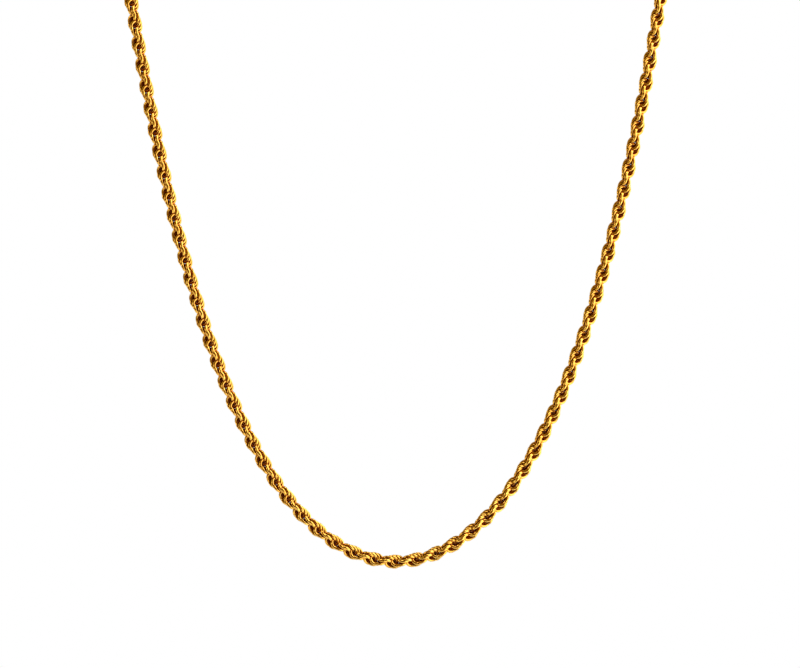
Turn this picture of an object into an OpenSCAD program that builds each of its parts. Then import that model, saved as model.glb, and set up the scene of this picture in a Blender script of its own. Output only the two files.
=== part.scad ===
// Rope chain necklace, worn size, closed with a plain barrel clasp.
// Millimetres. The origin is where the clasp lies against the nape of the neck.
// +Z is up, +X is to the wearer's left, and the front of the neck is towards -Y.
// From the nape the chain goes round the neck, over each shoulder bend, and
// hangs down in front as one drape.

/* [Chain] */
// Thickness across the twisted links
chain_d = 2.5; // [1.5:0.1:4]
// Whole length round the loop, clasp included
chain_length = 500; // [420:5:700]

/* [Drape] */
// Sideways scale of the hanging curve
drape_spread = 19.55; // [15:0.05:24]
// Upward scale of the hanging curve
drape_rise = 21.58; // [17:0.02:26]

/* [Neck] */
// Radius of the bend over each shoulder
shoulder_r = 20; // [12:1:26]
// Straight run between each shoulder bend and the nape curve
side_run = 13; // [4:1:20]

/* [Clasp] */
// Length of the barrel
clasp_l = 12; // [9:0.5:20]
// Wall of the barrel round each socket
clasp_wall = 0.6; // [0.4:0.05:1.2]
// Depth of the socket that takes each end of the chain
socket_depth = 3; // [1.5:0.1:4]
// Clearance all round the chain in its socket
socket_gap = 0.1; // [0.05:0.01:0.3]
// Rounding of the barrel's ends
clasp_round = 0.5; // [0.1:0.05:0.6]
// Straight stretch of chain outside each end of the barrel
clasp_lead = 1; // [0.5:0.1:3]

/* [Hidden] */

// Sides of the chain's solid, and its rings' spacing in diameters
tube_sides = 8;
ring_spacing = 2.6;
// The hanging curve is tabled to this many widths, in this many steps
curve_reach = 4;
curve_steps = 600;
quarter = 90;
clasp_facets = 64;
// Never along the chain on the half that is swept, so it can orient the rings
ring_reference = [1, 1, 1];

chain_r = chain_d / 2;
socket_r = chain_r + socket_gap;
clasp_r = socket_r + clasp_wall;
end_round = min(clasp_round, clasp_wall);
// The chain's centre line lies this far behind the skin at the nape
line_y = clasp_r;
// Distances along one half of the chain, from the middle of the clasp
tube_start = clasp_l / 2 - socket_depth;
straight_end = clasp_l / 2 + clasp_lead;
half_length = chain_length / 2;

function cosh(u) = (exp(u) + exp(-u)) / 2;
function sinh(u) = (exp(u) - exp(-u)) / 2;
function arc_length(radius) = PI * radius / 2;

// The drape's height above its lowest point, and its lean from upright
function drape_height(x) = drape_rise * (cosh(x / drape_spread) - 1);
function drape_lean(x) = atan(drape_spread / (drape_rise * sinh(x / drape_spread)));

// Rows of [half width, length along the drape from its lowest point]
curve_step = curve_reach * drape_spread / curve_steps;
curve_table = [
    for (i = 0, s = 0; i <= curve_steps;
         s = s + norm([curve_step,
                       drape_height((i + 1) * curve_step) - drape_height(i * curve_step)]),
         i = i + 1)
        [i * curve_step, s]
];

// The drape widens by the shoulder bend's lean before the nape curve begins
function nape_radius(x) = x + shoulder_r * sin(drape_lean(x)) - straight_end;
function length_to_bottom(x, drape_length) =
    straight_end + arc_length(nape_radius(x)) + side_run + arc_length(shoulder_r)
    + drape_length;

// The drape reaches as high as leaves the chain its whole length
top_table = [
    for (row = curve_table)
        if (row[0] > 0) [length_to_bottom(row[0], row[1]), row[0]]
];
top_x = lookup(half_length, top_table);
top_lean = drape_lean(top_x);
nape_r = nape_radius(top_x);
drape_length = lookup(top_x, curve_table);
width_table = [for (row = curve_table) [row[1], row[0]]];

// Where each stretch of the half begins, along the chain
nape_start = straight_end;
run_start = nape_start + arc_length(nape_r);
shoulder_start = run_start + side_run;
drape_start = shoulder_start + arc_length(shoulder_r);

side_x = straight_end + nape_r;
run_y = line_y - nape_r;
shoulder_y = run_y - side_run;
front_y = shoulder_y - shoulder_r;
top_z = -shoulder_r * cos(top_lean);
down = [-sin(top_lean), 0, -cos(top_lean)];
front = [0, -1, 0];

function on_nape(s) =
    let (turn = quarter * (s - nape_start) / arc_length(nape_r))
    [straight_end + nape_r * sin(turn), line_y - nape_r * (1 - cos(turn)), 0];

function on_shoulder(s) =
    let (turn = quarter * (s - shoulder_start) / arc_length(shoulder_r))
    [side_x, shoulder_y, 0]
    + shoulder_r * (sin(turn) * front + (1 - cos(turn)) * down);

function on_drape(s) =
    let (x = lookup(drape_length - (s - drape_start), width_table))
    [x, front_y, top_z - drape_height(top_x) + drape_height(x)];

// Point of the chain's centre line at a distance from the middle of the clasp
function route(s) =
    s <= nape_start ? [s, line_y, 0]
    : s <= run_start ? on_nape(s)
    : s <= shoulder_start ? [side_x, run_y - (s - run_start), 0]
    : s <= drape_start ? on_shoulder(s)
    : on_drape(s);

// Distances of the rings: the socket's floor, the straight's end, then even steps
ring_steps = ceil((half_length - straight_end) / (ring_spacing * chain_d));
stations = concat(
    [tube_start],
    [for (i = [0 : ring_steps])
        straight_end + i * (half_length - straight_end) / ring_steps]
);
last = len(stations) - 1;
half_line = [for (s = stations) route(s)];

function unit(v) = v / norm(v);
function mirrored(p) = [-p[0], p[1], p[2]];

// The line is square to the clasp at its start and to the middle at its end
function line_direction(i) =
    i <= 1 ? [1, 0, 0]
    : i == last ? [-1, 0, 0]
    : unit(half_line[i + 1] - half_line[i - 1]);

function ring(i) =
    let (along = line_direction(i),
         across = unit(cross(along, ring_reference)),
         upright = cross(along, across))
    [for (k = [0 : tube_sides - 1])
        half_line[i] + chain_r * (cos(360 * k / tube_sides) * across
                                  + sin(360 * k / tube_sides) * upright)];

half_rings = [for (i = [0 : last]) ring(i)];
rings = concat(
    half_rings,
    [for (i = [last - 1 : -1 : 0]) [for (p = half_rings[i]) mirrored(p)]]
);
ring_count = len(rings);

function side_faces() = [
    for (i = [0 : ring_count - 2], k = [0 : tube_sides - 1])
        let (next = (k + 1) % tube_sides, here = i * tube_sides, there = here + tube_sides)
        each [[here + k, there + k, there + next], [here + k, there + next, here + next]]
];

function end_faces() = [
    [for (k = [0 : tube_sides - 1]) k],
    [for (k = [tube_sides - 1 : -1 : 0]) (ring_count - 1) * tube_sides + k]
];

// The twisted links' outer form: one tube from socket floor to socket floor
module rope_chain() {
    color("goldenrod")
        polyhedron(
            points = [for (r = rings) each r],
            faces = concat(side_faces(), end_faces()),
            convexity = 6
        );
}

// Half outline of the barrel, with its round ends, before the sockets
module barrel_outline() {
    translate([0, -clasp_l / 2])
        square([clasp_r - end_round, clasp_l]);
    translate([0, -clasp_l / 2 + end_round])
        square([clasp_r, clasp_l - 2 * end_round]);
    for (side = [-1, 1])
        translate([clasp_r - end_round, side * (clasp_l / 2 - end_round)])
            circle(end_round, $fn = clasp_facets);
}

module socket_outline(side) {
    // Runs past the barrel's end so the mouth is cut clean
    overshoot = 1;
    translate([0, side > 0 ? tube_start : -tube_start - socket_depth - overshoot])
        square([socket_r, socket_depth + overshoot]);
}

// One plain barrel across the nape, with a socket in each end
module clasp() {
    color("gold")
        translate([0, line_y, 0])
            rotate([0, quarter, 0])
                rotate_extrude($fn = clasp_facets)
                    difference() {
                        barrel_outline();
                        socket_outline(-1);
                        socket_outline(1);
                    }
}

rope_chain();
clasp();
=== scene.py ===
"""Finished surface of a gold rope chain necklace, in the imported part's own frame.

Metres throughout: +Z is up, +X is to the wearer's left, the front of the neck is towards
-Y, and the origin is at the nape. The chain's wire rings are laid into a rope along the
line that the part's source gives its tube, and they replace that tube. The barrel clasp
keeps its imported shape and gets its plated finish. The studio is white, as in the
photograph, and the camera stands at the photograph's angle.
"""

import logging
import math
from dataclasses import dataclass, field
from enum import Enum

import bpy
import numpy as np
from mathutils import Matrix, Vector
from mathutils.bvhtree import BVHTree


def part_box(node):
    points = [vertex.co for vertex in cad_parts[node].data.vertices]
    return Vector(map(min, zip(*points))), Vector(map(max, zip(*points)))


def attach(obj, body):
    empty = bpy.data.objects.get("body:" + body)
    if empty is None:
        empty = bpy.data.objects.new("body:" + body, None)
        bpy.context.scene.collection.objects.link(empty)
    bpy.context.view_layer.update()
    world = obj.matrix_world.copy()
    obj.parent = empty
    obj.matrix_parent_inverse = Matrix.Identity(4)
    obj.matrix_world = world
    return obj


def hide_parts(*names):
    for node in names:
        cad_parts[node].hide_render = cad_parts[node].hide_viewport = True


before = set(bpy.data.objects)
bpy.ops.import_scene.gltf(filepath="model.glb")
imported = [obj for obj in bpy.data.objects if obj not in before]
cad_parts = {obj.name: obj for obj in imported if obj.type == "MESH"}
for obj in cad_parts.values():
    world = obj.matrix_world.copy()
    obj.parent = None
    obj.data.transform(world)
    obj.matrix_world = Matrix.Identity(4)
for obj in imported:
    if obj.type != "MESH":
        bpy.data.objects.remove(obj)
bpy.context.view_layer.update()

LOG = logging.getLogger("rope_chain")
MM = 0.001
BODY = "root"
CHAIN_NODE = "rope_chain"
CLASP_NODE = "clasp"
WHITE = "#ffffff"
# Blender's wave texture repeats every 2 pi / 20 of a unit at scale 1
WAVE_PERIOD = math.tau / 20

Colour = tuple[float, float, float, float]


class Lay(Enum):
    """Which way the rings climb round the rope, as the sign of its sideways axis."""

    LEFT_HAND = -1
    RIGHT_HAND = 1


class Exposure(Enum):
    """Names of the vertex layers that tell a finish where it lies on the chain: how shut in
    each point is, which sets the painted shade, and each ring's random tone.
    """

    PAINTED_SHADE = "painted_shade"
    RING_TONE = "ring_tone"


def linear(hex_colour: str) -> Colour:
    """Turn an sRGB hex colour to the linear colour that a shader wants.

    Args:
        hex_colour: Six hex digits after a hash, such as "#c8860f".

    Returns:
        Linear red, green, blue and an alpha of 1.
    """
    channels = []
    for start in (1, 3, 5):
        value = int(hex_colour[start:start + 2], 16) / 255
        if value <= 0.04045:
            channels.append(value / 12.92)
        else:
            channels.append(((value + 0.055) / 1.055) ** 2.4)
    return (channels[0], channels[1], channels[2], 1.0)


def add_node(
    tree: bpy.types.NodeTree,
    kind: str,
    settings: dict | None = None,
    links: dict | None = None,
) -> bpy.types.Node:
    """Add one node to a tree, set it up and wire its inputs.

    Args:
        tree: The node tree that gets the node.
        kind: The node's type name, such as "ShaderNodeTexNoise".
        settings: Values by name or number: a property of the node, or else an input.
        links: Output sockets by the name or number of the input that each one feeds.

    Returns:
        The new node.
    """
    node = tree.nodes.new(kind)
    for key, value in (settings or {}).items():
        if isinstance(key, str) and hasattr(node, key):
            setattr(node, key, value)
        else:
            node.inputs[key].default_value = value
    for key, socket in (links or {}).items():
        tree.links.new(socket, node.inputs[key])
    return node


def set_ramp(ramp: bpy.types.Node, stops: list[tuple[float, Colour]]) -> None:
    """Give a colour ramp its stops.

    Args:
        ramp: The ramp node.
        stops: Pairs of position and linear colour, in order of position.
    """
    elements = ramp.color_ramp.elements
    while len(elements) > len(stops):
        elements.remove(elements[-1])
    while len(elements) < len(stops):
        elements.new(1.0)
    for element, (position, colour) in zip(elements, stops):
        element.position = position
        element.color = colour


def new_material(name: str) -> tuple[bpy.types.Material, bpy.types.NodeTree]:
    """Make an empty node material.

    Args:
        name: The material's name.

    Returns:
        The material and its emptied node tree.
    """
    material = bpy.data.materials.new(name)
    material.use_nodes = True
    material.node_tree.nodes.clear()
    return material, material.node_tree


def noise_scale(grain: float) -> float:
    """Noise texture scale whose blotches are about one grain across, in metres."""
    return 1 / grain


@dataclass(frozen=True)
class PlatedWire:
    """Polished yellow-gold plate over drawn brass wire.

    Gold plate is rich yellow where it lies open and reddish brown in the hollows between
    the rings. That brown is painted shade and a painted reflection of gold in gold, deepest
    where the neighbouring rings shut a point in. The hollows are also rougher, where the
    polishing wheel didn't reach.
    """

    polished: str = "#f6c862"
    rubbed: str = "#eaae46"
    # Painted shade and painted reflection of gold in gold: the brown that the plate turns to
    # in the hollows, from the first shut-in share below to the second
    painted_shade: str = "#a04900"
    painted_shade_starts: float = 0.2
    painted_shade_full: float = 0.8
    roughness_bright: float = 0.16
    roughness_hollow: float = 0.26
    # Patches where the plate is rubbed a little duller
    plate_patch: float = 4.0 * MM
    patch_detail: float = 3.0
    # Drawing lines are some 0.01 mm apart, drawn 0.06 mm apart so that they show at all
    draw_line: float = 0.06 * MM
    draw_depth: float = 0.0016 * MM
    draw_strength: float = 0.35
    line_detail: float = 2.0

    def make(self) -> bpy.types.Material:
        """Build the finish of the chain's rings.

        Returns:
            The material, which reads the exposure layers of the mesh, one of them for its
            painted shade.
        """
        material, tree = new_material("gold_plated_brass_wire")
        place = add_node(tree, "ShaderNodeNewGeometry")
        # How shut in each point is, which is the mask of the painted shade
        painted_shade = add_node(
            tree, "ShaderNodeAttribute", {"attribute_name": Exposure.PAINTED_SHADE.value}
        )
        tone = add_node(
            tree, "ShaderNodeAttribute", {"attribute_name": Exposure.RING_TONE.value}
        )
        patches = add_node(
            tree, "ShaderNodeTexNoise",
            {"Scale": noise_scale(self.plate_patch), "Detail": self.patch_detail},
            {"Vector": place.outputs["Position"]},
        )
        worn = add_node(
            tree, "ShaderNodeMath", {"operation": "ADD", "use_clamp": True},
            {0: patches.outputs["Fac"], 1: tone.outputs["Fac"]},
        )
        plate = add_node(
            tree, "ShaderNodeMix",
            {"data_type": "RGBA", 6: linear(self.polished), 7: linear(self.rubbed)},
            {0: worn.outputs[0]},
        )
        # Painted shade: the plate turns to the hollows' brown as a point is more shut in, and
        # grows rougher there
        depth = add_node(
            tree, "ShaderNodeMapRange",
            {"From Min": self.painted_shade_starts, "From Max": self.painted_shade_full},
            {"Value": painted_shade.outputs["Fac"]},
        )
        colour = add_node(
            tree, "ShaderNodeMix",
            {"data_type": "RGBA", 7: linear(self.painted_shade)},
            {0: depth.outputs[0], 6: plate.outputs[2]},
        )
        roughness = add_node(
            tree, "ShaderNodeMapRange",
            {"To Min": self.roughness_bright, "To Max": self.roughness_hollow},
            {"Value": depth.outputs[0]},
        )
        lines = add_node(
            tree, "ShaderNodeTexNoise",
            {"Scale": noise_scale(self.draw_line), "Detail": self.line_detail},
            {"Vector": place.outputs["Position"]},
        )
        bump = add_node(
            tree, "ShaderNodeBump",
            {"Strength": self.draw_strength, "Distance": self.draw_depth},
            {"Height": lines.outputs["Fac"]},
        )
        shader = add_node(
            tree, "ShaderNodeBsdfPrincipled", {"Metallic": 1.0},
            {
                "Base Color": colour.outputs[2],
                "Roughness": roughness.outputs[0],
                "Normal": bump.outputs[0],
            },
        )
        add_node(tree, "ShaderNodeOutputMaterial", {}, {"Surface": shader.outputs[0]})
        return material


@dataclass(frozen=True)
class TurnedBarrel:
    """Yellow-gold plate over turned brass.

    A turned and lightly polished barrel keeps fine rings round its axis, which draw its
    highlight out across them.
    """

    polished: str = "#f0bc44"
    dulled: str = "#d9992a"
    roughness: float = 0.19
    plate_patch: float = 2.5 * MM
    patch_detail: float = 4.0
    # A finishing cut leaves lines 0.05 mm apart, drawn 0.15 mm apart so that they show
    lathe_line: float = 0.15 * MM
    lathe_depth: float = 0.004 * MM
    lathe_strength: float = 0.5
    # The tool wanders a little, so the lines aren't quite even
    lathe_wander: float = 1.2
    line_detail: float = 2.0

    def make(self) -> bpy.types.Material:
        """Build the finish of the clasp's barrel, whose axis lies along X.

        Returns:
            The material.
        """
        material, tree = new_material("gold_plated_turned_brass")
        place = add_node(tree, "ShaderNodeNewGeometry")
        patches = add_node(
            tree, "ShaderNodeTexNoise",
            {"Scale": noise_scale(self.plate_patch), "Detail": self.patch_detail},
            {"Vector": place.outputs["Position"]},
        )
        colour = add_node(
            tree, "ShaderNodeMix",
            {"data_type": "RGBA", 6: linear(self.polished), 7: linear(self.dulled)},
            {0: patches.outputs["Fac"]},
        )
        lines = add_node(
            tree, "ShaderNodeTexWave",
            {
                "wave_type": "BANDS", "bands_direction": "X",
                "Scale": WAVE_PERIOD / self.lathe_line,
                "Distortion": self.lathe_wander, "Detail": self.line_detail,
            },
            {"Vector": place.outputs["Position"]},
        )
        bump = add_node(
            tree, "ShaderNodeBump",
            {"Strength": self.lathe_strength, "Distance": self.lathe_depth},
            {"Height": lines.outputs["Fac"]},
        )
        shader = add_node(
            tree, "ShaderNodeBsdfPrincipled",
            {"Metallic": 1.0, "Roughness": self.roughness},
            {"Base Color": colour.outputs[2], "Normal": bump.outputs[0]},
        )
        add_node(tree, "ShaderNodeOutputMaterial", {}, {"Surface": shader.outputs[0]})
        return material


@dataclass(frozen=True)
class PaintedBoard:
    """Matt white emulsion on board, which gives soft light back from below."""

    paint: str = "#f4f3f0"
    roughness: float = 0.85
    roller_grain: float = 2.0 * MM
    roller_depth: float = 0.1 * MM
    roller_strength: float = 0.1

    def make(self) -> bpy.types.Material:
        """Build the floor's finish.

        Returns:
            The material.
        """
        material, tree = new_material("matt_white_painted_board")
        place = add_node(tree, "ShaderNodeNewGeometry")
        grain = add_node(
            tree, "ShaderNodeTexNoise", {"Scale": noise_scale(self.roller_grain)},
            {"Vector": place.outputs["Position"]},
        )
        bump = add_node(
            tree, "ShaderNodeBump",
            {"Strength": self.roller_strength, "Distance": self.roller_depth},
            {"Height": grain.outputs["Fac"]},
        )
        shader = add_node(
            tree, "ShaderNodeBsdfPrincipled",
            {"Base Color": linear(self.paint), "Roughness": self.roughness},
            {"Normal": bump.outputs[0]},
        )
        add_node(tree, "ShaderNodeOutputMaterial", {}, {"Surface": shader.outputs[0]})
        return material


@dataclass
class Route:
    """The line down the middle of the chain, laid as the part's source lays it.

    One half runs from the middle of the clasp round the nape, over the shoulder and down
    the drape to its lowest point. The other half is its mirror image.
    """

    chain_length: float = 500 * MM
    drape_spread: float = 19.55 * MM
    drape_rise: float = 21.58 * MM
    shoulder_r: float = 20 * MM
    side_run: float = 13 * MM
    clasp_lead: float = 1 * MM
    socket_depth: float = 3 * MM
    # The hanging curve is tabled to this many widths, in this many steps
    curve_reach: float = 4.0
    curve_steps: int = 600
    table_step: float = 0.05 * MM
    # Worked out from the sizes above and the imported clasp
    clasp_l: float = field(init=False)
    line_y: float = field(init=False)
    straight_end: float = field(init=False)
    socket_floor: float = field(init=False)
    half_length: float = field(init=False)
    top_x: float = field(init=False)
    top_lean: float = field(init=False)
    nape_r: float = field(init=False)
    drape_length: float = field(init=False)
    run_start: float = field(init=False)
    shoulder_start: float = field(init=False)
    drape_start: float = field(init=False)
    drape_x: np.ndarray = field(init=False, repr=False)
    drape_s: np.ndarray = field(init=False, repr=False)
    distance: np.ndarray = field(init=False, repr=False)
    centre: np.ndarray = field(init=False, repr=False)
    sideways: np.ndarray = field(init=False, repr=False)
    upright: np.ndarray = field(init=False, repr=False)

    def __post_init__(self) -> None:
        """Work out the places of the route's stretches and table its line."""
        low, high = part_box(CLASP_NODE)
        self.clasp_l = high[0] - low[0]
        self.line_y = (low[1] + high[1]) / 2
        self.straight_end = self.clasp_l / 2 + self.clasp_lead
        self.socket_floor = self.clasp_l / 2 - self.socket_depth
        self.half_length = self.chain_length / 2
        self._table_drape()
        self._find_top()
        self._table_line()

    def _height(self, x: np.ndarray | float) -> np.ndarray | float:
        """Height of the drape above its lowest point, at a distance from its middle."""
        return self.drape_rise * (np.cosh(x / self.drape_spread) - 1)

    def _lean(self, x: np.ndarray | float) -> np.ndarray | float:
        """Lean of the drape from upright, in radians, at a distance from its middle."""
        slope = self.drape_rise / self.drape_spread * np.sinh(x / self.drape_spread)
        return np.arctan2(1, slope)

    def _table_drape(self) -> None:
        """Table the drape's half width against its length from the lowest point."""
        reach = self.curve_reach * self.drape_spread
        self.drape_x = np.linspace(0, reach, self.curve_steps + 1)
        steps = np.hypot(np.diff(self.drape_x), np.diff(self._height(self.drape_x)))
        self.drape_s = np.concatenate([[0], np.cumsum(steps)])

    def _find_top(self) -> None:
        """Find how high the drape reaches with the whole chain's length used up."""
        quarter = math.pi / 2
        x = self.drape_x[1:]
        nape_r = x + self.shoulder_r * np.sin(self._lean(x)) - self.straight_end
        to_bottom = (
            self.straight_end + quarter * (nape_r + self.shoulder_r)
            + self.side_run + self.drape_s[1:]
        )
        self.top_x = float(np.interp(self.half_length, to_bottom, x))
        self.top_lean = float(self._lean(self.top_x))
        self.nape_r = (
            self.top_x + self.shoulder_r * math.sin(self.top_lean) - self.straight_end
        )
        self.drape_length = float(np.interp(self.top_x, self.drape_x, self.drape_s))
        self.run_start = self.straight_end + quarter * self.nape_r
        self.shoulder_start = self.run_start + self.side_run
        self.drape_start = self.shoulder_start + quarter * self.shoulder_r

    def _half_point(self, s: np.ndarray) -> np.ndarray:
        """Points of the half at +X, at distances from the middle of the clasp.

        Args:
            s: Distances from the middle of the clasp, none past the lowest point.

        Returns:
            One row of x, y and z for each distance.
        """
        nape = np.clip((s - self.straight_end) / self.nape_r, 0, math.pi / 2)
        run = np.clip(s - self.run_start, 0, self.side_run)
        bend = np.clip((s - self.shoulder_start) / self.shoulder_r, 0, math.pi / 2)
        dropped = self.shoulder_r * (1 - np.cos(bend))
        x = np.minimum(s, self.straight_end) + self.nape_r * np.sin(nape)
        x = x - dropped * math.sin(self.top_lean)
        y = self.line_y - self.nape_r * (1 - np.cos(nape)) - run
        y = y - self.shoulder_r * np.sin(bend)
        z = -dropped * math.cos(self.top_lean)
        drape_x = np.interp(
            self.drape_length - (s - self.drape_start), self.drape_s, self.drape_x
        )
        hanging = s > self.drape_start
        fall = self._height(drape_x) - self._height(self.top_x)
        x = np.where(hanging, drape_x, x)
        z = np.where(hanging, -self.shoulder_r * math.cos(self.top_lean) + fall, z)
        return np.stack([x, y, z], axis=1)

    def _table_line(self) -> None:
        """Table the whole loop's line with a frame that turns with it but never rolls."""
        count = round(self.chain_length / self.table_step)
        self.distance = np.linspace(0, self.chain_length, count + 1)
        from_clasp = np.minimum(self.distance, self.chain_length - self.distance)
        self.centre = self._half_point(from_clasp)
        self.centre[self.distance > self.half_length, 0] *= -1
        along = np.gradient(self.centre, axis=0)
        along /= np.linalg.norm(along, axis=1)[:, None]
        self.sideways = np.empty_like(along)
        side = np.array([0.0, 0.0, 1.0])
        for row, direction in enumerate(along):
            side = side - direction * (side @ direction)
            side = side / np.linalg.norm(side)
            self.sideways[row] = side
        self.upright = np.cross(along, self.sideways)

    def place(self, across: np.ndarray) -> np.ndarray:
        """Bend a straight rope's points round the route.

        Args:
            across: Rows of sideways offset, upright offset and distance along the rope.

        Returns:
            Rows of x, y and z.
        """
        distance = across[:, 2]

        def at(table: np.ndarray) -> np.ndarray:
            """Read a table's three columns at the points' distances."""
            columns = [np.interp(distance, self.distance, table[:, i]) for i in range(3)]
            return np.stack(columns, axis=1)

        return (
            at(self.centre)
            + across[:, :1] * at(self.sideways)
            + across[:, 1:2] * at(self.upright)
        )


@dataclass(frozen=True)
class Ring:
    """One ring of round wire, and how it sits in the rope.

    The ring is a little bent and longer than wide, leans along the rope and stands off its
    axis the way it faces, as rings do once the rope has been twisted tight.
    """

    wire_d: float = 0.52 * MM
    middle_r: float = 1.027 * MM
    # How far the ring's middle stands off the rope's axis
    shift: float = 0.179 * MM
    # Angles of the way it faces: from the rope's axis, and round that axis from its shift
    tilt: float = math.radians(96)
    facing: float = math.radians(4.5)
    # Shares of the ring's radius that it is longer than round, and that it is bent
    oval: float = 0.02
    bend: float = 0.05
    steps_round: int = 40
    steps_wire: int = 12

    def surface(self) -> tuple[np.ndarray, np.ndarray]:
        """Lay out the ring's wire in the rope's straight frame.

        Returns:
            The points, as rows of sideways, upright and along, and their outward normals.
        """
        turn = np.linspace(0, math.tau, self.steps_round, endpoint=False)[:, None]
        facing = np.array([
            math.sin(self.tilt) * math.cos(self.facing),
            math.sin(self.tilt) * math.sin(self.facing),
            math.cos(self.tilt),
        ])
        rope_axis = np.array([0.0, 0.0, 1.0])
        lengthwise = rope_axis - facing * (facing @ rope_axis)
        lengthwise /= np.linalg.norm(lengthwise)
        crosswise = np.cross(facing, lengthwise)
        reach = self.middle_r * (1 + self.oval * np.cos(2 * turn))
        lift = self.middle_r * self.bend * np.cos(2 * turn)
        line = (
            np.array([self.shift, 0, 0])
            + reach * np.cos(turn) * lengthwise
            + reach * np.sin(turn) * crosswise
            + lift * facing
        )
        along = np.roll(line, -1, axis=0) - np.roll(line, 1, axis=0)
        along /= np.linalg.norm(along, axis=1)[:, None]
        outward = np.cross(along, facing)
        outward /= np.linalg.norm(outward, axis=1)[:, None]
        flat = np.cross(outward, along)
        round_wire = np.linspace(0, math.tau, self.steps_wire, endpoint=False)
        normal = (
            np.cos(round_wire)[None, :, None] * outward[:, None, :]
            + np.sin(round_wire)[None, :, None] * flat[:, None, :]
        )
        points = line[:, None, :] + self.wire_d / 2 * normal
        return points.reshape(-1, 3), normal.reshape(-1, 3)

    def faces(self) -> np.ndarray:
        """Corners of the ring's four-sided faces, as rows of point numbers."""
        around = np.arange(self.steps_round)[:, None]
        wire = np.arange(self.steps_wire)[None, :]
        here = around * self.steps_wire
        there = (around + 1) % self.steps_round * self.steps_wire
        after = (wire + 1) % self.steps_wire
        corners = [here + wire, there + wire, there + after, here + after]
        return np.stack(corners, axis=-1).reshape(-1, 4)


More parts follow.
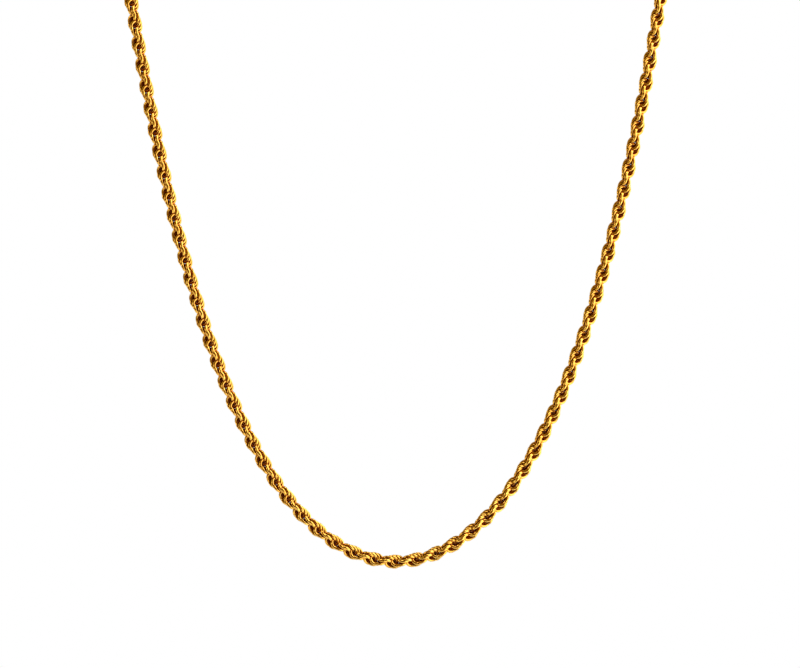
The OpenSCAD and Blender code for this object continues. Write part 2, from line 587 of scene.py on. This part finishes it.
@dataclass
class RopeChain:
    """The whole rope of interlocked rings, from one end of the clasp to the other."""

    route: Route
    ring: Ring = field(default_factory=Ring)
    lay: Lay = Lay.LEFT_HAND
    # A knob of the rope is half a twist, and every knob has the same rings in it
    rings_in_knob: int = 7
    knob_length: float = 3.692 * MM
    first_turn: float = math.radians(50.5)
    end_clearance: float = 0.06 * MM
    # Away from its closest twists, a little up the wearer's left side, the rope is drawn out
    drawn_out: float = 0.058
    closest_at: float = 227.5 * MM
    closest_within: float = 36.4 * MM
    stretch_count: int = 5
    # Ring to ring, a strung rope is a little uneven in turn and in tone
    turn_spread: float = math.radians(1.2)
    tone_spread: float = 0.3
    seed: int = 6408
    # Looks out from each point of a ring, past this many rings on either side, to find where
    # the plate gets painted shade
    neighbours: int = 5
    look_rays: int = 48
    look_reach: float = 4 * MM
    look_start: float = 0.0104 * MM
    ring_pitch: float = field(init=False)
    ring_turn: float = field(init=False)

    def __post_init__(self) -> None:
        """Work out how each ring follows the one before it."""
        self.ring_pitch = self.knob_length / self.rings_in_knob
        self.ring_turn = math.pi + math.pi / self.rings_in_knob

    def ring_places(self) -> np.ndarray:
        """Distances of the rings' middles along the route, closest at the closest twists."""
        end = self.route.socket_floor + self.ring.middle_r + self.ring.wire_d / 2
        distance = end + self.end_clearance
        last = self.route.chain_length - distance
        places = []
        while distance <= last:
            places.append(distance)
            away = (distance - self.closest_at) / self.closest_within
            drawn = self.drawn_out * (1 - math.exp(-away ** 2))
            distance += self.ring_pitch * (1 + drawn)
        return np.array(places)

    def _turned(self, points: np.ndarray, turn: float, along: float) -> np.ndarray:
        """Turn points about the rope's axis and move them along it.

        Args:
            points: Rows of sideways, upright and along.
            turn: Angle about the axis, in radians.
            along: Distance along the axis.

        Returns:
            The moved points, laid to the rope's hand.
        """
        x = points[:, 0] * math.cos(turn) - points[:, 1] * math.sin(turn)
        y = points[:, 0] * math.sin(turn) + points[:, 1] * math.cos(turn)
        return np.stack([self.lay.value * x, y, points[:, 2] + along], axis=1)

    def _faces(self) -> np.ndarray:
        """One ring's faces, wound so that they face outward on either lay."""
        faces = self.ring.faces()
        return faces if self.lay is Lay.RIGHT_HAND else faces[:, ::-1]

    def painted_shade_layer(self) -> np.ndarray:
        """Measure how much of its outlook each point of a ring loses to its neighbours, as
        the mask of the painted shade.

        Every ring has the same neighbours at the same places, so one ring stands for all.

        Returns:
            One share from 0, open, to 1, shut in, for each point of a ring.
        """
        points, normals = self.ring.surface()
        faces = self._faces()
        around, corners = [], []
        for step in range(-self.neighbours, self.neighbours + 1):
            corners.append(faces + len(around) * len(points))
            around.append(self._turned(points, step * self.ring_turn, step * self.ring_pitch))
        tree = BVHTree.FromPolygons(
            np.concatenate(around).tolist(), np.concatenate(corners).tolist()
        )
        golden = math.pi * (3 - math.sqrt(5))
        height = 1 - (np.arange(self.look_rays) + 0.5) / self.look_rays * 2
        level = np.sqrt(1 - height ** 2)
        spin = golden * np.arange(self.look_rays)
        looks = np.stack([level * np.cos(spin), level * np.sin(spin), height], axis=1)
        origins = self._turned(points, 0, 0)
        outward = self._turned(normals, 0, 0)
        shares = np.zeros(len(points))
        for index, (origin, normal) in enumerate(zip(origins, outward)):
            start = Vector(origin + normal * self.look_start)
            total = 0.0
            shut = 0.0
            for look in looks:
                weight = float(look @ normal)
                if weight <= 0:
                    continue
                total += weight
                if tree.ray_cast(start, Vector(look), self.look_reach)[0] is not None:
                    shut += weight
            shares[index] = shut / total
        return shares

    def build(self) -> list[bpy.types.Object]:
        """Lay all rings and join them into a few stretches of rope.

        Returns:
            One object for each stretch.
        """
        places = self.ring_places()
        points, _ = self.ring.surface()
        faces = self._faces()
        # Shut-in shares of one ring's points, which set where the plate gets painted shade
        painted_shade = self.painted_shade_layer()
        draw = np.random.default_rng(self.seed)
        unevenness = draw.normal(0, self.turn_spread, len(places))
        tones = draw.uniform(-self.tone_spread, self.tone_spread, len(places))
        shares = np.array_split(np.arange(len(places)), self.stretch_count)
        stretches = []
        for number, rings in enumerate(shares):
            rows = []
            for index in rings:
                turn = self.first_turn + index * self.ring_turn + unevenness[index]
                rows.append(self._turned(points, turn, places[index]))
            placed = self.route.place(np.concatenate(rows))
            starts = np.arange(len(rings))[:, None, None] * len(points)
            name = f"rope_links_{number + 1}"
            corners = (faces[None] + starts).reshape(-1, 4)
            mesh = bpy.data.meshes.new(name)
            mesh.from_pydata(placed.tolist(), [], corners.tolist())
            mesh.shade_smooth()
            self._write_layer(mesh, Exposure.PAINTED_SHADE, np.tile(painted_shade, len(rings)))
            self._write_layer(mesh, Exposure.RING_TONE, np.repeat(tones[rings], len(points)))
            stretch = bpy.data.objects.new(name, mesh)
            bpy.context.scene.collection.objects.link(stretch)
            stretches.append(stretch)
            LOG.info("%s: %d rings, %d faces", name, len(rings), len(mesh.polygons))
        return stretches

    @staticmethod
    def _write_layer(mesh: bpy.types.Mesh, layer: Exposure, values: np.ndarray) -> None:
        """Store one number for each point of a mesh.

        Args:
            mesh: The mesh that gets the layer.
            layer: Which layer it is.
            values: One value for each point.
        """
        attribute = mesh.attributes.new(layer.value, "FLOAT", "POINT")
        attribute.data.foreach_set("value", values.astype(np.float32))

    def dress(self, stretches: list[bpy.types.Object]) -> None:
        """Plate the stretches and hand them to the frame in the tube's place.

        Args:
            stretches: The objects that build made.
        """
        plate = PlatedWire().make()
        for stretch in stretches:
            stretch.data.materials.append(plate)
            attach(stretch, BODY)
            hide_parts(CHAIN_NODE)


@dataclass
class Clasp:
    """The plain barrel at the nape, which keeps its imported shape."""

    node: str = CLASP_NODE

    def dress(self) -> None:
        """Give the barrel its plated finish."""
        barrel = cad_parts[self.node]
        barrel.data.materials.clear()
        barrel.data.materials.append(TurnedBarrel().make())
        LOG.info("%s: %d faces", self.node, len(barrel.data.polygons))


@dataclass(frozen=True)
class Softbox:
    """One white soft light, named for where it stands as the camera sees it.

    Its place is counted from the drape's middle, in metres, and its power is in watts.
    """

    name: str
    place: tuple[float, float, float]
    width: float
    height: float
    power: float


@dataclass
class Studio:
    """White studio, its soft lights and the camera at the photograph's angle."""

    # What the photograph's width takes in at the drape's own distance
    view_width: float = 142.86 * MM
    view_centre_x: float = 0.77 * MM
    view_centre_z: float = -90.22 * MM
    camera_distance: float = 1.0
    sensor_width: float = 36.0
    floor_z: float = -0.45
    floor_r: float = 0.5
    floor_sides: int = 96
    drape_y: float = -75.93 * MM
    # The room from the brown wall behind the camera, at 0, to the white backdrop, at 1
    room_light: tuple[tuple[float, str], ...] = (
        (0.0, "#5d3b0f"), (0.1, "#6f4a14"), (0.3, "#9d7f27"), (0.5, "#b2a035"),
        (0.7, "#b6aa40"), (0.9, "#a7a159"), (1.0, WHITE),
    )
    # White light on matt paint, so that the floor stays pale in the brown room
    matt_strength: float = 0.6
    softboxes: tuple[Softbox, ...] = (
        Softbox("overhead", (0.0, -0.08, 0.95), 0.35, 0.35, 1.7),
        Softbox("left", (-0.89, -0.32, 0.08), 0.35, 0.35, 1.1),
        Softbox("left_low", (-0.77, 0.135, -0.54), 0.35, 0.35, 0.9),
        Softbox("left_low_behind", (-0.55, 0.55, -0.55), 0.75, 0.75, 0.7),
        Softbox("right_high", (0.63, -0.23, 0.67), 0.35, 0.35, 1.0),
        Softbox("right_top", (0.67, 0.0, 0.67), 0.75, 0.75, 0.9),
        Softbox("right_low", (0.73, -0.27, -0.54), 0.35, 0.35, 1.0),
        Softbox("right_low_front", (0.55, -0.55, -0.55), 0.75, 0.75, 1.7),
        Softbox("right_behind", (0.67, 0.67, 0.0), 0.75, 0.75, 0.6),
        Softbox("right_near", (0.18, -0.02, 0.02), 0.45, 0.55, 1.2),
    )

    def lay_floor(self) -> bpy.types.Object:
        """Make the round pale floor, below the camera's view.

        Returns:
            The floor.
        """
        turn = np.linspace(0, math.tau, self.floor_sides, endpoint=False)
        rim = np.stack([
            self.floor_r * np.cos(turn), self.floor_r * np.sin(turn),
            np.full(self.floor_sides, self.floor_z),
        ], axis=1)
        mesh = bpy.data.meshes.new("floor")
        mesh.from_pydata(rim.tolist(), [], [list(range(self.floor_sides))])
        mesh.materials.append(PaintedBoard().make())
        floor = bpy.data.objects.new("floor", mesh)
        bpy.context.scene.collection.objects.link(floor)
        return floor

    def light_room(self) -> None:
        """Give gold a brown room to mirror, matt paint a pale one and the eye a white one."""
        world = bpy.data.worlds.new("white_studio")
        bpy.context.scene.world = world
        world.use_nodes = True
        tree = world.node_tree
        tree.nodes.clear()
        direction = add_node(tree, "ShaderNodeTexCoord")
        parts = add_node(
            tree, "ShaderNodeSeparateXYZ", {}, {0: direction.outputs["Generated"]}
        )
        depth = add_node(
            tree, "ShaderNodeMapRange", {"From Min": -1.0, "From Max": 1.0},
            {"Value": parts.outputs["Y"]},
        )
        room = add_node(tree, "ShaderNodeValToRGB", {}, {0: depth.outputs[0]})
        set_ramp(room, [(position, linear(tint)) for position, tint in self.room_light])
        mirrored = add_node(tree, "ShaderNodeBackground", {}, {"Color": room.outputs[0]})
        paint = add_node(
            tree, "ShaderNodeBackground",
            {"Color": linear(WHITE), "Strength": self.matt_strength},
        )
        seen = add_node(tree, "ShaderNodeBackground", {"Color": linear(WHITE)})
        ray = add_node(tree, "ShaderNodeLightPath")
        thrown = add_node(
            tree, "ShaderNodeMixShader", {},
            {0: ray.outputs["Is Diffuse Ray"], 1: mirrored.outputs[0], 2: paint.outputs[0]},
        )
        either = add_node(
            tree, "ShaderNodeMixShader", {},
            {0: ray.outputs["Is Camera Ray"], 1: thrown.outputs[0], 2: seen.outputs[0]},
        )
        add_node(tree, "ShaderNodeOutputWorld", {}, {"Surface": either.outputs[0]})

    def hang_softboxes(self) -> None:
        """Stand the soft lights round the drape, each facing its middle."""
        target = Vector((0, self.drape_y, self.view_centre_z))
        for box in self.softboxes:
            light = bpy.data.lights.new(box.name, "AREA")
            light.shape = "RECTANGLE"
            light.size = box.width
            light.size_y = box.height
            light.energy = box.power
            lamp = bpy.data.objects.new(box.name, light)
            lamp.location = target + Vector(box.place)
            lamp.rotation_euler = (-Vector(box.place)).to_track_quat("-Z", "Y").to_euler()
            lamp.visible_camera = False
            bpy.context.scene.collection.objects.link(lamp)

    def set_camera(self) -> None:
        """Aim the camera straight at the drape, as the photograph does."""
        data = bpy.data.cameras.new("photo_camera")
        data.sensor_fit = "HORIZONTAL"
        data.sensor_width = self.sensor_width
        data.lens = self.sensor_width * self.camera_distance / self.view_width
        camera = bpy.data.objects.new("photo_camera", data)
        camera.location = (
            self.view_centre_x, self.drape_y - self.camera_distance, self.view_centre_z
        )
        camera.rotation_euler = (math.pi / 2, 0, 0)
        bpy.context.scene.collection.objects.link(camera)
        bpy.context.scene.camera = camera

    def build(self) -> None:
        """Set up the floor, the light and the camera."""
        self.set_camera()
        self.lay_floor()
        self.light_room()
        self.hang_softboxes()
        bpy.context.scene.view_settings.view_transform = "Standard"


def main() -> None:
    """Build the studio, lay the rope and dress the clasp."""
    logging.basicConfig(level=logging.INFO, format="%(name)s: %(message)s")
    Studio().build()
    rope = RopeChain(Route())
    rope.dress(rope.build())
    Clasp().dress()


if __name__ == "__main__":
    main()
